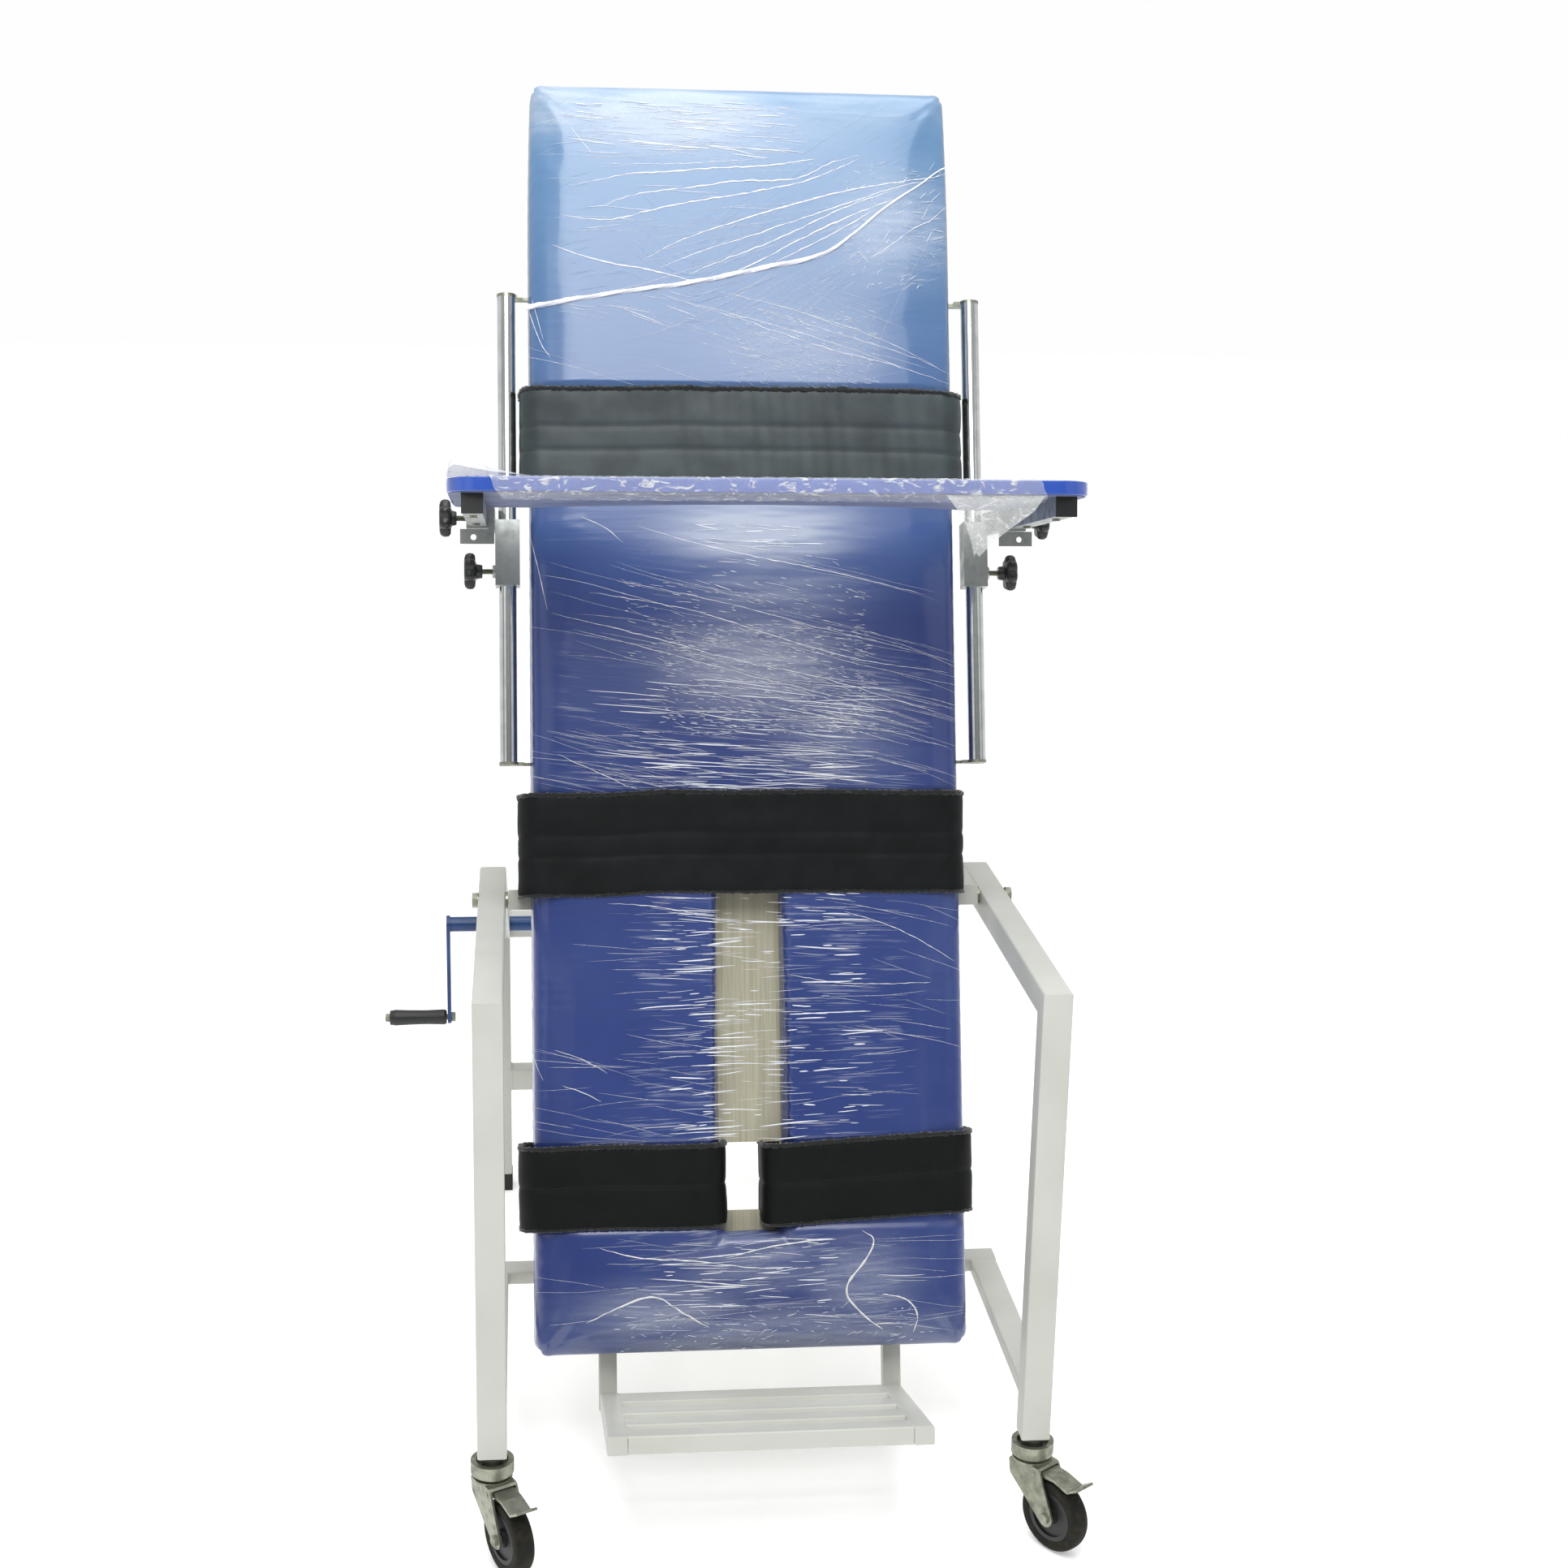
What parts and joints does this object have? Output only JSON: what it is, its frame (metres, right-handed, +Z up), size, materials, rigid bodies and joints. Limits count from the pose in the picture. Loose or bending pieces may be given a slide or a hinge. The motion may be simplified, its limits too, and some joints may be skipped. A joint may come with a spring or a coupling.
{
  "type": "tilt table",
  "caption": "Hand-cranked standing tilt table: padded board with body straps, tray on side rails and footrest, tilting on a wheeled steel base.",
  "frame": {"origin": "floor, at the middle of the footprint's bounding box", "axes": "+Z up, -Y towards the front where the person stands, +X to the right seen from the front"},
  "size_m": [0.9705, 1.2739, 1.8756],
  "materials": {
    "painted frame": "satin powder coat",
    "grey paint": "satin paint",
    "black rubber": "moulded",
    "black plastic": "moulded, satin",
    "grey plastic": "moulded",
    "zinc steel": "zinc plated",
    "machined steel": "machined",
    "brass nut": "machined",
    "blue paint": "gloss enamel",
    "chrome tube": "polished",
    "plywood": "sanded",
    "blue vinyl": "glossy vinyl under stretch film",
    "black leatherette": "padded, stitched",
    "blue tray edge": "laminated board"
  },
  "bodies": {
    "base": {"front_posts": "painted frame", "top_rails": "painted frame", "slope_rails": "painted frame", "rear_legs": "painted frame", "lower_side_rails": "painted frame", "cross_tubes": "painted frame", "spine_tubes": "painted frame", "rear_feet": "black rubber", "post_plugs": "black plastic", "pivot_bolts": "zinc steel", "crank_brackets": "painted frame", "caster_heads": "zinc steel"},
    "board": {"board_side_tubes": "painted frame", "board_cross_tubes": "painted frame", "pivot_bushes": "black plastic", "jack_lug": "painted frame", "ply_board": "plywood", "pad": "blue vinyl", "chest_strap": "black leatherette", "hip_strap": "black leatherette", "left_leg_strap": "black leatherette", "right_leg_strap": "black leatherette", "chrome_rails": "chrome tube", "rail_brackets": "zinc steel"},
    "jack": {"gearbox_housing": "grey paint", "gearbox_cover": "grey paint", "jack_outer_tube": "painted frame"},
    "jack_ram": {"jack_nut": "brass nut", "jack_inner_tube": "machined steel", "jack_eye": "machined steel"},
    "screw": {"jack_screw": "machined steel", "screw_bevel": "machined steel"},
    "crank": {"crank_shaft": "blue paint", "drive_bevel": "machined steel", "crank_arm": "blue paint", "grip_bolt": "zinc steel"},
    "grip": {"crank_grip": "black plastic"},
    "tray_carrier": {"rail_sliders": "zinc steel"},
    "tray": {"tray_arms": "zinc steel", "arm_caps": "black plastic", "tray_board": "blue tray edge", "tray_bolts": "zinc steel"},
    "height_knob_left": {"height_knob_left": "black plastic"},
    "height_knob_right": {"height_knob_right": "black plastic"},
    "depth_knob_left": {"depth_knob_left": "black plastic"},
    "depth_knob_right": {"depth_knob_right": "black plastic"},
    "footrest": {"footrest_stems": "painted frame", "footrest_frame": "painted frame"},
    "footrest_knob_left": {"footrest_knob_left": "black plastic"},
    "footrest_knob_right": {"footrest_knob_right": "black plastic"},
    "caster_left": {"caster_fork_left": "zinc steel", "caster_axle_left": "zinc steel"},
    "wheel_left": {"caster_tyre_left": "black rubber", "caster_hub_left": "grey plastic"},
    "pedal_left": {"brake_pedal_left": "zinc steel"},
    "caster_right": {"caster_fork_right": "zinc steel", "caster_axle_right": "zinc steel"},
    "wheel_right": {"caster_tyre_right": "black rubber", "caster_hub_right": "grey plastic"},
    "pedal_right": {"brake_pedal_right": "zinc steel"}
  },
  "joints": [
    {"name": "board_tilt", "type": "hinge", "parent": "base", "child": "board", "pos_m": [0.06, -0.1125, 0.76], "axis": [1, 0, 0], "range_deg": [-71.8, 10]},
    {"name": "jack_swivel", "type": "hinge", "parent": "base", "child": "jack", "pos_m": [0.06, 0.5315, 0.517], "axis": [1, 0, 0], "range_deg": [-0.22, 0.96]},
    {"name": "jack_extend", "type": "slide", "parent": "jack", "child": "jack_ram", "axis": [0, -0.9639, 0.2662], "range_m": [-0.0148, 0.1]},
    {"name": "screw_spin", "type": "hinge", "parent": "jack", "child": "screw", "pos_m": [0.06, 0.5315, 0.517], "axis": [0, -0.9639, 0.2662], "range_deg": [-5754, 810]},
    {"name": "crank_spin", "type": "hinge", "parent": "base", "child": "crank", "pos_m": [0.06, 0.5315, 0.517], "axis": [1, 0, 0], "range_deg": [-5754, 810]},
    {"name": "grip_spin", "type": "hinge", "parent": "crank", "child": "grip", "pos_m": [0.06, 0.5315, 0.352], "axis": [1, 0, 0], "continuous": true},
    {"name": "tray_height", "type": "slide", "parent": "board", "child": "tray_carrier", "axis": [0, 0.3123, 0.95], "range_m": [-0.22, 0.04]},
    {"name": "tray_depth", "type": "slide", "parent": "tray_carrier", "child": "tray", "axis": [0, -0.9799, 0.1994], "range_m": [-0.012, 0.06]},
    {"name": "height_knob_left_turn", "type": "hinge", "parent": "tray_carrier", "child": "height_knob_left", "pos_m": [-0.2705, -0.00745, 1.20758], "axis": [1, 0, 0], "range_deg": [-720, 0]},
    {"name": "height_knob_right_turn", "type": "hinge", "parent": "tray_carrier", "child": "height_knob_right", "pos_m": [0.3905, -0.00745, 1.20758], "axis": [1, 0, 0], "range_deg": [0, 720]},
    {"name": "depth_knob_left_turn", "type": "hinge", "parent": "tray_carrier", "child": "depth_knob_left", "pos_m": [-0.31, -0.05886, 1.2897], "axis": [1, 0, 0], "range_deg": [-720, 0]},
    {"name": "depth_knob_right_turn", "type": "hinge", "parent": "tray_carrier", "child": "depth_knob_right", "pos_m": [0.43, -0.05886, 1.2897], "axis": [1, 0, 0], "range_deg": [0, 720]},
    {"name": "footrest_height", "type": "slide", "parent": "board", "child": "footrest", "axis": [0, -0.3123, -0.95], "range_m": [-0.04, 0.04]},
    {"name": "footrest_knob_left_turn", "type": "hinge", "parent": "board", "child": "footrest_knob_left", "pos_m": [-0.139, -0.26867, 0.28501], "axis": [0, 0.95, -0.3123], "range_deg": [0, 720]},
    {"name": "footrest_knob_right_turn", "type": "hinge", "parent": "board", "child": "footrest_knob_right", "pos_m": [0.259, -0.26867, 0.28501], "axis": [0, 0.95, -0.3123], "range_deg": [0, 720]},
    {"name": "caster_left_swivel", "type": "hinge", "parent": "base", "child": "caster_left", "pos_m": [-0.2955, -0.5435, 0.11], "axis": [0, 0, 1], "continuous": true},
    {"name": "wheel_left_roll", "type": "hinge", "parent": "caster_left", "child": "wheel_left", "pos_m": [-0.27437, -0.58323, 0.05], "axis": [0.8829, 0.4695, 0], "continuous": true},
    {"name": "brake_left_press", "type": "hinge", "parent": "caster_left", "child": "pedal_left", "pos_m": [-0.28517, -0.56293, 0.104], "axis": [0.8829, 0.4695, 0], "range_deg": [0, 4], "stiffness_Nm_per_rad": 2},
    {"name": "caster_right_swivel", "type": "hinge", "parent": "base", "child": "caster_right", "pos_m": [0.4155, -0.5435, 0.11], "axis": [0, 0, 1], "continuous": true},
    {"name": "wheel_right_roll", "type": "hinge", "parent": "caster_right", "child": "wheel_right", "pos_m": [0.44195, -0.57991, 0.05], "axis": [0.809, 0.5878, 0], "continuous": true},
    {"name": "brake_right_press", "type": "hinge", "parent": "caster_right", "child": "pedal_right", "pos_m": [0.42843, -0.5613, 0.104], "axis": [0.809, 0.5878, 0], "range_deg": [0, 4], "stiffness_Nm_per_rad": 2}
  ],
  "couplings": [
    {"joint": "jack_swivel", "follows": "board_tilt", "ratio": -0.01205},
    {"joint": "jack_extend", "follows": "board_tilt", "m_per_rad": -0.07899},
    {"joint": "screw_spin", "follows": "board_tilt", "ratio": 80},
    {"joint": "crank_spin", "follows": "board_tilt", "ratio": 80}
  ]
}
